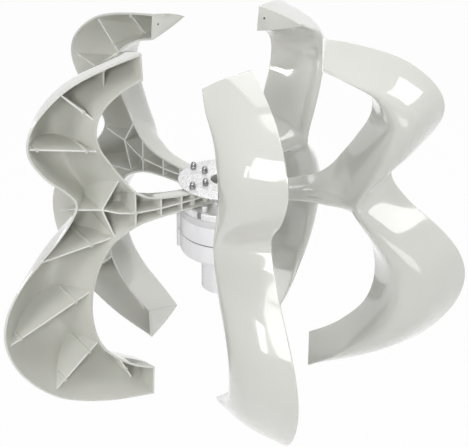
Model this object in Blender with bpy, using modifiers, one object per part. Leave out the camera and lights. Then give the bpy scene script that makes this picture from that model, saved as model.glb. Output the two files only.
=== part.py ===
"""Vertical axis wind turbine: five scoop blades on a hub, over a small generator that stands on a pole.

Sizes are in millimetres and are turned into metres as each mesh is made. The origin is the centre of
the pole socket's mouth and +Z runs up the axis that the rotor turns about.
"""

import math

import bmesh
import bpy
from mathutils import Matrix, Vector
from mathutils.bvhtree import BVHTree

MM = 0.001

# Fits -------------------------------------------------------------------------------------------
SEAT = 0.3  # gap between two pieces that rest on each other
RUNNING_GAP = 0.8  # between the turning flange and the fixed cover
HOLE_CLEARANCE = 0.3  # added to a fastener's radius for its hole
EDGE = 0.8  # chamfer of a turned edge

# Pole socket --------------------------------------------------------------------------------------
SOCKET_BORE_R = 24.3  # for a pole 48 mm across
SOCKET_WALL = 2.2
SOCKET_LENGTH = 50.0
SPIGOT_LENGTH = 12.0  # the casing's foot, inside the socket's top end
CLAMP_SCREW_R = 3.0
CLAMP_SCREW_HEIGHT = 18.0
CLAMP_HEAD_R = 5.8
CLAMP_HEAD_H = 4.0
CLAMP_SCREW_ANGLES = (100.0, 280.0)

# Generator ----------------------------------------------------------------------------------------
CASING_R = 52.3
CASING_WALL = 4.0
CASING_CORNER_R = 6.5
LOWER_CASING_H = 26.4
UPPER_CASING_H = 23.7
COVER_H = 7.6
BEARING_BORE_R = 7.5
BEARING_OUTER_R = 17.5
BEARING_WIDTH = 11.0
RACE_WALL = 2.8
BEARING_BOSS_WALL = 5.0
COLLAR_R = 8.5  # the shaft's step that carries the hub flange
ROTOR_SEAT_R = 9.0
ROTOR_CORE_R = 22.6
MAGNET_THICKNESS = 3.5
MAGNET_COUNT = 8
MAGNET_ARC = 34.0
AIR_GAP = 0.7
SLOT_COUNT = 12
SLOT_WIDTH = 7.0
YOKE_WIDTH = 7.7  # the stator outside its slots
WINDING_OVERHANG = 5.5
CASING_SCREW_R = 2.0
CASING_SCREW_ANGLES = (60.0, 180.0, 300.0)
CASING_SCREW_INSET = 6.0  # from the casing's outside
CASING_SCREW_HEAD_R = 3.5
CASING_SCREW_HEAD_H = 4.0
LUG_R = 4.0  # the upright lug outside the casing at each screw
LUG_PROUD = 3.6
LUG_BELOW_SEAM = 23.5
PILLAR_R = 3.8
SEAL_H = 6.0
CABLE_HOLE_R = 2.6
GROMMET_COLLAR_H = 1.5

# Hub ----------------------------------------------------------------------------------------------
FLANGE_H = 8.6
PLATE_THICKNESS = 1.6
PLATE_HOLE_R = 16.0
SHAFT_THREAD_R = 6.0
SHAFT_NUT_H = 10.0
SHAFT_NUT_R = 10.4
WASHER_H = 2.0
WASHER_R = 12.0
KEY_WIDTH = 4.0
KEY_HEIGHT = 4.0
BOLT_R = 2.0
PLATE_OVERHANG = 1.7  # the top plate stands this far out past the casing
PLATE_R = CASING_R + PLATE_OVERHANG
OUTER_BOLT_INSET = 9.0  # from the plate's edge
BOLT_PITCH = 17.5
BOLT_CIRCLES = (PLATE_R - OUTER_BOLT_INSET - BOLT_PITCH, PLATE_R - OUTER_BOLT_INSET)
BOLT_OFFSET = 3.0  # the bolt line lies this far to the blades' open side
BOLT_HEAD_R = 4.0
BOLT_HEAD_H = 2.8
DOME_NUT_R = 3.9
DOME_NUT_HEX_H = 3.2
DOME_NUT_H = 8.0
NOTCH_ANGLE = 236.7
NOTCH_WIDTH = 5.8
NOTCH_DEPTH = 3.0

# Blades -------------------------------------------------------------------------------------------
BLADE_COUNT = 5
FIRST_BLADE_ANGLE = 212.4
REACH = 289.0  # axis to the widest point of the outer rim
RISE = 178.0  # arm's top face to the upper tip
DROP = 253.0  # arm's top face to the lower tip
WALL = 2.4
RIB_THICKNESS = 2.2
ARM_ROOT = 21.0  # axis to the arm's inner end
ARM_STRAIGHT = BOLT_CIRCLES[1] + 5.0  # out to here the arm keeps its section
ARM_HEIGHT = 20.9
ARM_RIM = 9.0  # arm's open side, from the radial plane
ARM_BACK = 12.5
BOSS_R = 4.5
LEAN_START = -47.0
LEAN_SLOPE = 0.065
OUTER_BULGE = 0.12  # how far the outer panel swells, as a share of its width
INNER_BULGE = 0.06
TIP_HOLE_R = 1.2
TIP_HOLE_PLACE = (-6.0, 164.0)  # across from the rim's plane and up, in the upper lobe's end cap
SKIN_STEPS = 1  # facets between two sections

# The blade's sections are drawn on its radial plane for these three sizes, and stretched to the sizes above.
DRAWN_REACH, DRAWN_RISE, DRAWN_DROP = 289.0, 178.0, 253.0

# Each section is an outer rim (r, z), a ridge (r, z, depth) and an inner rim (r, z, rise above the outer
# rim's plane). The upper lobe runs from its tip to the junction and the lower lobe from there to its tip.
UPPER_LOBE = (
    ((107, 178), (107, 161, 54), (107, 147, 2)),
    ((152, 170), (138, 147, 56), (132, 139, 2)),
    ((200, 155), (168, 131, 57), (155, 124, 3)),
    ((238, 124), (184, 110, 58), (165, 106, 4)),
    ((247, 92), (188, 88, 57), (164, 84, 5)),
    ((228, 58), (181, 60, 56), (151, 61, 6)),
    ((205, 36), (169, 30, 55), (144, 50, 6)),
)
NOTCH_POINT = (192, 15)
JUNCTION_RIDGE = (152, -3, 53)
UPPER_ARMPIT = (137, 40, 7)
LOWER_ARMPIT = (146, -37, 6)
LOWER_LOBE = (
    ((215, -18), (160, -22, 53), (155, -46, 5)),
    ((254, -53), (180, -49, 53), (168, -64, 5)),
    ((281, -88), (202, -84, 53), (179, -93, 5)),
    ((289, -128), (208, -122, 53), (181, -130, 5)),
    ((272, -173), (194, -162, 52), (171, -164, 5)),
    ((230, -216), (168, -190, 51), (148, -189, 5)),
    ((170, -241), (137, -211, 50), (128, -203, 5)),
    ((106, -253), (106, -228, 48), (106, -213, 5)),
)
# The arm's sections outside its straight part: top rim (r, z), back (r, z, depth), bottom rim (r, z).
ARM_FLARE = (
    ((122, 20), (130, -5, 34), (124, -26)),
    ((103, 8), (104, -6.5, 19), (103, -22.5)),
    ((76, 2.2), (78, -9, 14.5), (76, -21.4)),
)
# Ribs by the two ends of their free edge, (r, t, z): t is the distance to the open side of the radial plane.
STAR = (160, 0, 3)
LOBE_RIBS = (
    ((151, -3, 169), (147, -30, 151)),
    ((207, -4, 153), (165, -2, 112)),
    ((246, -5, 95), (158, 0, 74)),
    ((246, -4, -45), (150, 2, -34)),
    ((286, 1, -137), (178, 6, -91)),
    ((231, 5, -210), (168, 9, -153)),
    ((149, 12, -192), (130, 2, -228)),
)
STAR_RIBS = (
    (STAR, (194, 0, 12)),
    (STAR, (136, 3, 41)),
    (STAR, (145, 3, -38)),
)
ARM_RIB_RADII = (122, 89, 62)

# Heights ------------------------------------------------------------------------------------------
SOCKET_R = SOCKET_BORE_R + SOCKET_WALL
SPIGOT_R = SOCKET_BORE_R - SEAT
LOWER_CASING_Z = SOCKET_LENGTH + SEAT
SPIGOT_Z = LOWER_CASING_Z - SPIGOT_LENGTH
LOWER_FLOOR_Z = LOWER_CASING_Z + CASING_WALL
LOWER_CASING_TOP = LOWER_CASING_Z + LOWER_CASING_H
UPPER_CASING_Z = LOWER_CASING_TOP + SEAT
UPPER_CASING_TOP = UPPER_CASING_Z + UPPER_CASING_H
UPPER_CEILING_Z = UPPER_CASING_TOP - CASING_WALL
COVER_Z = UPPER_CASING_TOP + SEAT
COVER_TOP = COVER_Z + COVER_H
FLANGE_Z = COVER_TOP + RUNNING_GAP
FLANGE_TOP = FLANGE_Z + FLANGE_H
ARM_Z = FLANGE_TOP + SEAT
ARM_TOP = ARM_Z + ARM_HEIGHT
PLATE_Z = ARM_TOP + SEAT
PLATE_TOP = PLATE_Z + PLATE_THICKNESS
LOWER_BEARING_Z = LOWER_FLOOR_Z + SEAT
LOWER_BEARING_TOP = LOWER_BEARING_Z + BEARING_WIDTH
UPPER_BEARING_TOP = UPPER_CEILING_Z - SEAT
UPPER_BEARING_Z = UPPER_BEARING_TOP - BEARING_WIDTH
ROTOR_Z = LOWER_BEARING_TOP + 1.0
ROTOR_TOP = UPPER_BEARING_Z - 1.0
MAGNET_R = ROTOR_CORE_R + SEAT
STATOR_BORE_R = MAGNET_R + MAGNET_THICKNESS + AIR_GAP
CASING_BORE_R = CASING_R - CASING_WALL
STATOR_R = CASING_BORE_R - SEAT
SLOT_BOTTOM_R = STATOR_R - YOKE_WIDTH
CASING_SCREW_CIRCLE_R = CASING_R - CASING_SCREW_INSET
LUG_CIRCLE_R = CASING_R + LUG_PROUD - LUG_R
BEARING_SEAT_R = BEARING_OUTER_R + SEAT
BOSS_OUTER_R = BEARING_SEAT_R + BEARING_BOSS_WALL
SEAL_SEAT_R = COLLAR_R + SEAL_H - 0.8
BOLT_HEAD_Z = FLANGE_Z + 0.6
BOLT_HEAD_TOP = BOLT_HEAD_Z + BOLT_HEAD_H
DOME_NUT_Z = PLATE_TOP + SEAT
BOLT_TOP = DOME_NUT_Z + DOME_NUT_H - 2.4
SHAFT_WASHER_Z = FLANGE_TOP + SEAT
SHAFT_NUT_Z = SHAFT_WASHER_Z + WASHER_H + SEAT


def start_scene():
    for old in list(bpy.data.objects):
        bpy.data.objects.remove(old, do_unlink=True)
    turbine = bpy.data.collections.new("turbine")
    bpy.context.scene.collection.children.link(turbine)
    return turbine


def material(name, colour, roughness, metallic=0.0):
    made = bpy.data.materials.new(name)
    made.use_nodes = True
    shader = made.node_tree.nodes["Principled BSDF"]
    shader.inputs["Base Color"].default_value = (*colour, 1.0)
    shader.inputs["Roughness"].default_value = roughness
    shader.inputs["Metallic"].default_value = metallic
    return made


TURBINE = start_scene()
BLADE_PLASTIC = material("blade_plastic", (0.76, 0.77, 0.72), 0.25)
WHITE_PAINT = material("white_paint", (0.85, 0.85, 0.88), 0.3)
COVER_GREY = material("cover_grey", (0.62, 0.62, 0.64), 0.4)
CAST_ALUMINIUM = material("cast_aluminium", (0.78, 0.78, 0.8), 0.45, 1.0)
PLATED_STEEL = material("plated_steel", (0.75, 0.75, 0.76), 0.2, 1.0)
SHAFT_STEEL = material("shaft_steel", (0.6, 0.6, 0.62), 0.25, 1.0)
MAGNET_GREY = material("magnet_grey", (0.2, 0.2, 0.22), 0.35, 0.6)
LAMINATION = material("lamination", (0.3, 0.31, 0.33), 0.5, 0.8)
COPPER = material("copper", (0.72, 0.35, 0.2), 0.35, 1.0)
RUBBER = material("rubber", (0.05, 0.05, 0.05), 0.7)


def piece(name, mesh, finish):
    """Adds a finished mesh, already in metres and in place, as a named object."""
    mesh.name = name
    mesh.materials.clear()
    mesh.materials.append(finish)
    mesh.shade_smooth()
    mesh.set_sharp_from_angle(angle=math.radians(35))
    made = bpy.data.objects.new(name, mesh)
    TURBINE.objects.link(made)
    return made


def to_mesh(bm):
    """A mesh in metres from a bmesh in millimetres."""
    bmesh.ops.scale(bm, vec=(MM, MM, MM), verts=bm.verts)
    mesh = bpy.data.meshes.new("shape")
    bm.to_mesh(mesh)
    bm.free()
    return mesh


def turned(profile, steps=32):
    """A solid of revolution from a closed profile of (radius, height), on the Z axis."""
    bm = bmesh.new()
    corners = [bm.verts.new((radius, 0, height)) for radius, height in profile]
    edges = [bm.edges.new(pair) for pair in zip(corners, corners[1:] + corners[:1])]
    bmesh.ops.spin(bm, geom=corners + edges, axis=(0, 0, 1), angle=math.tau, steps=steps, use_merge=True)
    bmesh.ops.remove_doubles(bm, verts=bm.verts, dist=0.001)
    loose = [face for face in bm.faces if face.calc_area() < 1e-6]
    bmesh.ops.delete(bm, geom=loose, context="FACES_ONLY")
    bmesh.ops.recalc_face_normals(bm, faces=bm.faces)
    return to_mesh(bm)


def ring(inner, outer, low, high, steps=32):
    return turned(((inner, low), (outer, low), (outer, high), (inner, high)), steps)


def placed(radius, angle, height=0.0, offset=0.0):
    """Where a point at this radius and angle lies, moved square to the radius by an offset."""
    return Matrix.Rotation(math.radians(angle), 4, "Z") @ Vector((radius, offset, height))


def rod(radius, low, high, at=(0, 0, 0), sides=10, turn=0.0):
    """An upright cylinder, or a hexagon with six sides."""
    bm = bmesh.new()
    bmesh.ops.create_cone(bm, cap_ends=True, segments=sides, radius1=radius, radius2=radius, depth=high - low)
    bmesh.ops.rotate(bm, verts=bm.verts, matrix=Matrix.Rotation(math.radians(turn), 3, "Z"))
    bmesh.ops.translate(bm, verts=bm.verts, vec=(at[0], at[1], (low + high) / 2))
    return to_mesh(bm)


def block(size, centre, angle=0.0):
    """A box turned about the Z axis by an angle in degrees."""
    bm = bmesh.new()
    bmesh.ops.create_cube(bm, size=1.0)
    bmesh.ops.scale(bm, vec=size, verts=bm.verts)
    bmesh.ops.translate(bm, verts=bm.verts, vec=centre)
    bmesh.ops.rotate(bm, verts=bm.verts, matrix=Matrix.Rotation(math.radians(angle), 3, "Z"))
    return to_mesh(bm)


def combined(base, others, operation):
    """One mesh from a base mesh and a list of meshes that are joined to it or cut from it."""
    body = bpy.data.objects.new("body", base)
    tools = bpy.data.collections.new("tools")
    for count, mesh in enumerate(others):
        tools.objects.link(bpy.data.objects.new(f"tool_{count}", mesh))
    TURBINE.objects.link(body)
    TURBINE.children.link(tools)
    change = body.modifiers.new("change", "BOOLEAN")
    change.solver = "EXACT"
    change.operation = operation
    change.operand_type = "COLLECTION"
    change.collection = tools
    graph = bpy.context.evaluated_depsgraph_get()
    result = bpy.data.meshes.new_from_object(body.evaluated_get(graph))
    for helper in (body, *tools.objects):
        bpy.data.objects.remove(helper, do_unlink=True)
    bpy.data.collections.remove(tools)
    return result


def joined(base, others):
    return combined(base, others, "UNION")


def cut(base, others):
    return combined(base, others, "DIFFERENCE")


def turn_mesh(mesh, angle):
    """A copy of a mesh turned about the Z axis."""
    copy = mesh.copy()
    copy.transform(Matrix.Rotation(math.radians(angle), 4, "Z"))
    return copy


def lean(height):
    """How far the outer rim has moved to the open side at this height."""
    return 1.0 + max(0.0, LEAN_SLOPE * (LEAN_START - height))


def stretched(radius, height):
    """A drawn point of the blade at its real size."""
    rise = height * (RISE / DRAWN_RISE if height > 0 else DROP / DRAWN_DROP)
    return radius * REACH / DRAWN_REACH, rise


def rim_point(radius, height, above=0.0):
    radius, height = stretched(radius, height)
    return Vector((radius, lean(height) + above, height))


def ridge_point(radius, height, depth):
    radius, height = stretched(radius, height)
    return Vector((radius, lean(height) - depth, height))


def arm_point(radius, height, across):
    """A point of the arm, whose height follows the arm's own height below its top face."""
    share = REACH / DRAWN_REACH if radius > ARM_STRAIGHT else 1.0
    return Vector((radius * share, across, height))


def through(points, steps):
    """Points along a smooth curve through the given ones, with the same number of steps between each pair."""
    line = [2 * points[0] - points[1], *points, 2 * points[-1] - points[-2]]
    curve = []
    for before, start, end, after in zip(line, line[1:], line[2:], line[3:]):
        for step in range(steps):
            s = step / steps
            curve.append(
                0.5
                * (
                    2 * start
                    + (end - before) * s
                    + (2 * before - 5 * start + 4 * end - after) * s**2
                    + (3 * start - before - 3 * end + after) * s**3
                )
            )
    return curve + [points[-1]]


def across_section(rim, ridge, share, bulge):
    """A point between a rim and the ridge, pushed out of the straight line by a share of its length."""
    chord = ridge - rim
    away = Vector((0, -1, 0))
    outward = away - away.dot(chord.normalized()) * chord.normalized()
    return rim + share * chord + outward.normalized() * bulge * chord.length


def arm_weight(column, junction, steps):
    """0 on the lobe and 1 on the arm, for a column of a strip."""
    share = min(1.0, max(0.0, (column - junction) / (2 * steps)))
    return share * share * (3 - 2 * share)


def strip(bm, rims, ridges, junction, steps, bulge, reaches_arm):
    """Adds one strip of the blade's skin, from a rim to the ridge or the arm's back. It swells out of the
    straight line between them, and less so towards a lobe's flat end."""
    columns = len(rims) - 1
    grid = bmesh.ops.create_grid(bm, x_segments=columns, y_segments=3, size=1.0)
    for vertex in grid["verts"]:
        column = round((vertex.co.x + 1) / 2 * columns)
        row = round((vertex.co.y + 1) / 2 * 3)
        rim, ridge = rims[column], ridges[column]
        arm = arm_weight(column, junction, steps) if reaches_arm else 0.0
        flat = 1.0 if reaches_arm else min(1.0, abs(column - junction) / (1.5 * steps))
        from_end = column if reaches_arm else min(column, columns - column)
        swell = bulge * min(1.0, 0.4 + 0.6 * from_end / (3 * steps))
        half = across_section(rim, ridge, 0.5, flat * (swell * (1 - arm) + 0.19 * arm))
        corner = across_section(rim, ridge, 0.86 - 0.01 * arm, flat * (0.55 * swell * (1 - arm) + 0.28 * arm))
        vertex.co = (rim, half, corner, ridge)[row]


def blade_skin(steps):
    """The blade's outer skin as an open bmesh in the blade's own frame: x outwards, y to the open side."""
    outer = [rim_point(*section[0]) for section in (*UPPER_LOBE, (NOTCH_POINT,), *LOWER_LOBE)]
    ridge = [ridge_point(*section) for section in
             (*(s[1] for s in UPPER_LOBE), JUNCTION_RIDGE, *(s[1] for s in LOWER_LOBE))]
    flare_top = [arm_point(*top, ARM_RIM - 0.5) for top, _, _ in ARM_FLARE]
    flare_back = [arm_point(r, z, -depth) for _, (r, z, depth), _ in ARM_FLARE]
    flare_bottom = [arm_point(*bottom, ARM_RIM - 1.0) for _, _, bottom in ARM_FLARE]
    straight = (ARM_STRAIGHT, ARM_ROOT)
    top = [rim_point(*s[2]) for s in UPPER_LOBE] + [rim_point(*UPPER_ARMPIT)] + flare_top
    top += [Vector((r, ARM_RIM, 0)) for r in straight]
    bottom = [rim_point(*s[2]) for s in reversed(LOWER_LOBE)] + [rim_point(*LOWER_ARMPIT)] + flare_bottom
    bottom += [Vector((r, ARM_RIM, -ARM_HEIGHT)) for r in straight]
    back = [ridge_point(*JUNCTION_RIDGE)] + flare_back
    back += [Vector((r, -ARM_BACK, -ARM_HEIGHT / 2)) for r in straight]

    ridge_line = through(ridge, steps)
    back_line = through(back, steps)
    upper_end = len(UPPER_LOBE) * steps
    lower_end = len(LOWER_LOBE) * steps
    upper_ridge, lower_ridge = ridge_line[: upper_end + 1], ridge_line[upper_end:]

    bm = bmesh.new()
    strip(bm, through(outer, steps), ridge_line, upper_end, steps, OUTER_BULGE, False)
    strip(bm, through(top, steps), upper_ridge + back_line[1:], upper_end, steps, INNER_BULGE, True)
    strip(bm, through(bottom, steps), lower_ridge[::-1] + back_line[1:], lower_end, steps, INNER_BULGE, True)
    bmesh.ops.remove_doubles(bm, verts=bm.verts, dist=0.01)
    close_ends(bm, (upper_ridge[0].x, ridge_line[-1].x, ARM_ROOT))
    bmesh.ops.recalc_face_normals(bm, faces=bm.faces)
    if sum(face.normal.y * face.calc_area() for face in bm.faces) > 0:
        bmesh.ops.reverse_faces(bm, faces=bm.faces)
    return bm


def close_ends(bm, radii):
    """Fills the flat end of the upper lobe, the lower lobe and the arm, from rim to rim."""
    for radius, side in zip(radii, (1, -1, 0)):
        loop = [vertex for vertex in bm.verts if vertex.is_boundary and abs(vertex.co.x - radius) < 0.01
                and (abs(vertex.co.z) <= ARM_HEIGHT if side == 0 else vertex.co.z * side > 3 * ARM_HEIGHT)]
        middle = sum((vertex.co for vertex in loop), Vector()) / len(loop)
        loop.sort(key=lambda vertex: math.atan2(vertex.co.z - middle.z, vertex.co.y - middle.y))
        bm.faces.new(loop)


def floor_of(skin, radius, height):
    """Where the middle of the skin's wall lies under a point of the open side, or None beyond the rim."""
    hit, normal, _, _ = skin.ray_cast(Vector((radius, 200, height)), Vector((0, -1, 0)))
    if hit is None:
        return None
    return hit.y + 0.45 * WALL / max(0.35, abs(normal.y))


def plate(skin, stops, thick):
    """A plate whose free edge passes through the stops and whose foot follows the skin's wall."""
    last = len(stops) - 1
    bm = bmesh.new()
    grid = bmesh.ops.create_grid(bm, x_segments=last, y_segments=1, size=1.0)
    for vertex in grid["verts"]:
        stop = Vector(stops[round((vertex.co.x + 1) / 2 * last)])
        vertex.co = stop - thick / 2 - Vector((0, 0 if vertex.co.y > 0 else 500, 0))
    made = bmesh.ops.extrude_face_region(bm, geom=bm.faces[:])
    moved = [item for item in made["geom"] if isinstance(item, bmesh.types.BMVert)]
    bmesh.ops.translate(bm, verts=moved, vec=thick)
    for vertex in bm.verts:
        if vertex.co.y < -200:
            edge = vertex.co.y + 500
            floor = floor_of(skin, vertex.co.x, vertex.co.z)
            vertex.co.y = min(edge - 0.5, edge - WALL if floor is None else floor)
    bmesh.ops.recalc_face_normals(bm, faces=bm.faces)
    return to_mesh(bm)


def rib(skin, start, end, samples=4, look=24):
    """A straight rib between two points, cut short where its free edge would leave the skin."""
    start, end = Vector(start), Vector(end)
    inside = []
    for count in range(look + 1):
        top = start.lerp(end, count / look)
        floor = floor_of(skin, top.x, top.z)
        if floor is not None and floor < top.y:
            inside.append(count / look)
    first, last = max(0.0, inside[0] - 0.5 / look), min(1.0, inside[-1] + 0.5 / look)
    stops = [start.lerp(end, first + (last - first) * count / samples) for count in range(samples + 1)]
    return plate(skin, stops, (end - start).cross(Vector((0, 1, 0))).normalized() * RIB_THICKNESS)


def arm_web(skin):
    """The arm's shelf at half height, from the star of ribs to the arm's root."""
    edge = ARM_RIM - 4
    middle = -ARM_HEIGHT / 2
    stops = (STAR, (141, 3, -5), (122, edge, -8), (89, edge, middle), (ARM_ROOT + WALL / 2, edge, middle))
    return plate(skin, stops, Vector((0, 0, RIB_THICKNESS)))


def blade_mesh():
    """One blade at its root angle of zero: skin, ribs, bolt bosses and holes."""
    skin = blade_skin(SKIN_STEPS)
    tree = BVHTree.FromBMesh(skin)
    shell = bpy.data.objects.new("shell", to_mesh(skin))
    TURBINE.objects.link(shell)
    wall = shell.modifiers.new("wall", "SOLIDIFY")
    wall.thickness = WALL * MM
    wall.offset = -1.0
    wall.use_even_offset = True
    wall.use_quality_normals = True
    graph = bpy.context.evaluated_depsgraph_get()
    solid = bpy.data.meshes.new_from_object(shell.evaluated_get(graph))
    bpy.data.objects.remove(shell, do_unlink=True)

    ribs = [rib(tree, *ends) for ends in LOBE_RIBS + STAR_RIBS]
    for radius in ARM_RIB_RADII:
        edge = ARM_RIM - 3
        ribs.append(rib(tree, (radius, edge, 60), (radius, edge, -60), samples=2, look=120))
    bosses = [
        rod(BOSS_R, WALL / 2 - ARM_HEIGHT, -WALL / 2, (r, BOLT_OFFSET)) for r in BOLT_CIRCLES
    ]
    holes = [
        rod(BOLT_R + HOLE_CLEARANCE, -ARM_HEIGHT - 5, 5, (r, BOLT_OFFSET), 8) for r in BOLT_CIRCLES
    ]
    across, height = TIP_HOLE_PLACE
    tip_r = REACH / DRAWN_REACH * UPPER_LOBE[0][0][0]
    drain = rod(TIP_HOLE_R, tip_r - 6, tip_r + 6, sides=8)
    upright = Matrix.Translation((0, across * MM, height * RISE / DRAWN_RISE * MM))
    drain.transform(upright @ Matrix.Rotation(math.pi / 2, 4, "Y"))
    holes.append(drain)
    blade = solid
    for addition in [*ribs, arm_web(tree), *bosses]:
        blade = joined(blade, [addition])
    return cut(blade, holes)


def make_blades():
    mesh = blade_mesh()
    for count in range(BLADE_COUNT):
        angle = FIRST_BLADE_ANGLE + count * 360 / BLADE_COUNT
        copy = turn_mesh(mesh, angle)
        copy.transform(Matrix.Translation((0, 0, ARM_TOP * MM)))
        piece(f"blade_{count + 1}", copy, BLADE_PLASTIC)


def bolt_places():
    """(number, x, y) of each blade bolt."""
    places = []
    for count in range(BLADE_COUNT):
        for radius in BOLT_CIRCLES:
            spot = placed(radius, FIRST_BLADE_ANGLE + count * 360 / BLADE_COUNT, offset=BOLT_OFFSET)
            places.append((len(places) + 1, spot.x, spot.y))
    return places


def make_hub():
    hole_r = BOLT_R + HOLE_CLEARANCE
    holes = [rod(hole_r, PLATE_Z - 1, PLATE_TOP + 1, (x, y), 8) for _, x, y in bolt_places()]
    plate = ring(PLATE_HOLE_R, PLATE_R, PLATE_Z, PLATE_TOP, 32)
    piece("hub_top_plate", cut(plate, holes), PLATED_STEEL)

    seat_r = SHAFT_THREAD_R + 1.0 + HOLE_CLEARANCE
    flange = turned((
        (seat_r, FLANGE_Z), (CASING_R - EDGE, FLANGE_Z), (CASING_R, FLANGE_Z + EDGE),
        (CASING_R, FLANGE_TOP - 2 * EDGE), (CASING_R - 2 * EDGE, FLANGE_TOP), (seat_r, FLANGE_TOP),
    ), 32)
    cutters = [rod(hole_r, FLANGE_Z - 1, FLANGE_TOP + 1, (x, y), 8) for _, x, y in bolt_places()]
    cutters += [rod(BOLT_HEAD_R + 0.6, FLANGE_Z - 1, BOLT_HEAD_TOP + SEAT, (x, y), 10)
                for _, x, y in bolt_places()]
    keyway_depth = seat_r + KEY_HEIGHT / 2 + HOLE_CLEARANCE
    cutters.append(block((keyway_depth, KEY_WIDTH + 2 * HOLE_CLEARANCE, FLANGE_H + 2),
                         (keyway_depth / 2, 0, FLANGE_Z + FLANGE_H / 2)))
    cutters.append(block((2 * NOTCH_DEPTH, NOTCH_WIDTH, FLANGE_H + 2),
                         (CASING_R, 0, FLANGE_Z + FLANGE_H / 2), NOTCH_ANGLE))
    piece("hub_flange", cut(flange, cutters), CAST_ALUMINIUM)

    for number, x, y in bolt_places():
        head = rod(BOLT_HEAD_R, BOLT_HEAD_Z, BOLT_HEAD_TOP, (x, y), 6)
        shank = rod(BOLT_R, BOLT_HEAD_TOP - 1, BOLT_TOP, (x, y), 8)
        piece(f"blade_bolt_{number}", joined(head, [shank]), PLATED_STEEL)
        piece(f"dome_nut_{number}", dome_nut(x, y), PLATED_STEEL)


def dome_nut(x, y):
    body = rod(DOME_NUT_R, DOME_NUT_Z, DOME_NUT_Z + DOME_NUT_HEX_H, (x, y), 6)
    dome_r = DOME_NUT_R * math.cos(math.pi / 6) - 0.3
    dome_z = DOME_NUT_Z + DOME_NUT_HEX_H
    rise = DOME_NUT_H - DOME_NUT_HEX_H
    dome = turned((
        (0, dome_z - 1), (dome_r, dome_z - 1), (dome_r, dome_z + 0.3 * rise),
        (0.75 * dome_r, dome_z + 0.75 * rise), (0, dome_z + rise),
    ), 10)
    dome.transform(Matrix.Translation((x * MM, y * MM, 0)))
    hole = rod(BOLT_R + HOLE_CLEARANCE, DOME_NUT_Z - 1, BOLT_TOP + SEAT, (x, y), 8)
    return cut(joined(body, [dome]), [hole])


def make_shaft():
    flange_seat_r = SHAFT_THREAD_R + 1.0
    nut_top = SHAFT_NUT_Z + SHAFT_NUT_H
    shaft = turned((
        (0, LOWER_FLOOR_Z + 0.5), (BEARING_BORE_R, LOWER_FLOOR_Z + 0.5),
        (BEARING_BORE_R, LOWER_BEARING_TOP + SEAT), (ROTOR_SEAT_R, LOWER_BEARING_TOP + SEAT),
        (ROTOR_SEAT_R, UPPER_BEARING_Z - SEAT), (BEARING_BORE_R, UPPER_BEARING_Z - SEAT),
        (BEARING_BORE_R, UPPER_BEARING_TOP + SEAT), (COLLAR_R, UPPER_BEARING_TOP + SEAT),
        (COLLAR_R, FLANGE_Z - SEAT), (flange_seat_r, FLANGE_Z - SEAT),
        (flange_seat_r, FLANGE_TOP - 1), (SHAFT_THREAD_R, FLANGE_TOP - 1),
        (SHAFT_THREAD_R, nut_top + 2), (SHAFT_THREAD_R - 1, nut_top + 3), (0, nut_top + 3),
    ), 16)
    key_z, key_length = FLANGE_Z + 1, FLANGE_H - 3
    key_middle = key_z + key_length / 2
    keyway = block((KEY_HEIGHT, KEY_WIDTH + 2 * HOLE_CLEARANCE, key_length + 2 * SEAT),
                   (flange_seat_r, 0, key_middle))
    piece("shaft", cut(shaft, [keyway]), SHAFT_STEEL)
    piece("shaft_key", block((KEY_HEIGHT - 2 * SEAT, KEY_WIDTH, key_length),
                             (flange_seat_r, 0, key_middle)), SHAFT_STEEL)
    piece("shaft_washer", ring(SHAFT_THREAD_R + HOLE_CLEARANCE, WASHER_R, SHAFT_WASHER_Z,
                               SHAFT_WASHER_Z + WASHER_H, 20), PLATED_STEEL)
    nut = rod(SHAFT_NUT_R, SHAFT_NUT_Z, nut_top, sides=6)
    thread = rod(SHAFT_THREAD_R + HOLE_CLEARANCE, SHAFT_NUT_Z - 1, nut_top + 1, sides=16)
    piece("shaft_nut", cut(nut, [thread]), PLATED_STEEL)


def make_bearing(name, low):
    high = low + BEARING_WIDTH
    inner_r = BEARING_BORE_R + SEAT
    ball_gap = BEARING_OUTER_R - inner_r - 2 * RACE_WALL
    piece(f"{name}_inner_race", ring(inner_r, inner_r + RACE_WALL, low, high, 20), SHAFT_STEEL)
    piece(f"{name}_outer_race", ring(BEARING_OUTER_R - RACE_WALL, BEARING_OUTER_R, low, high, 24), SHAFT_STEEL)
    bm = bmesh.new()
    radius = ball_gap / 2 - SEAT
    circle = bmesh.ops.create_circle(bm, segments=6, radius=radius)
    bmesh.ops.rotate(bm, verts=circle["verts"], matrix=Matrix.Rotation(math.pi / 2, 3, "X"))
    centre = inner_r + RACE_WALL + ball_gap / 2
    bmesh.ops.translate(bm, verts=circle["verts"], vec=(centre, 0, (low + high) / 2))
    bmesh.ops.spin(bm, geom=bm.edges[:] + bm.verts[:], axis=(0, 0, 1), angle=math.tau, steps=20, use_merge=True)
    bmesh.ops.recalc_face_normals(bm, faces=bm.faces)
    piece(f"{name}_balls", to_mesh(bm), SHAFT_STEEL)


def make_rotor():
    piece("rotor_core", ring(ROTOR_SEAT_R + SEAT, ROTOR_CORE_R, ROTOR_Z, ROTOR_TOP, 32), LAMINATION)
    for count in range(MAGNET_COUNT):
        bm = bmesh.new()
        corners = ((MAGNET_R, ROTOR_Z + 1), (MAGNET_R + MAGNET_THICKNESS, ROTOR_Z + 1),
                   (MAGNET_R + MAGNET_THICKNESS, ROTOR_TOP - 1), (MAGNET_R, ROTOR_TOP - 1))
        face = bm.faces.new([bm.verts.new((r, 0, z)) for r, z in corners])
        bmesh.ops.spin(bm, geom=[face], axis=(0, 0, 1), angle=math.radians(MAGNET_ARC), steps=4)
        bmesh.ops.recalc_face_normals(bm, faces=bm.faces)
        piece(f"magnet_{count + 1}", turn_mesh(to_mesh(bm), count * 360 / MAGNET_COUNT), MAGNET_GREY)


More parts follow.
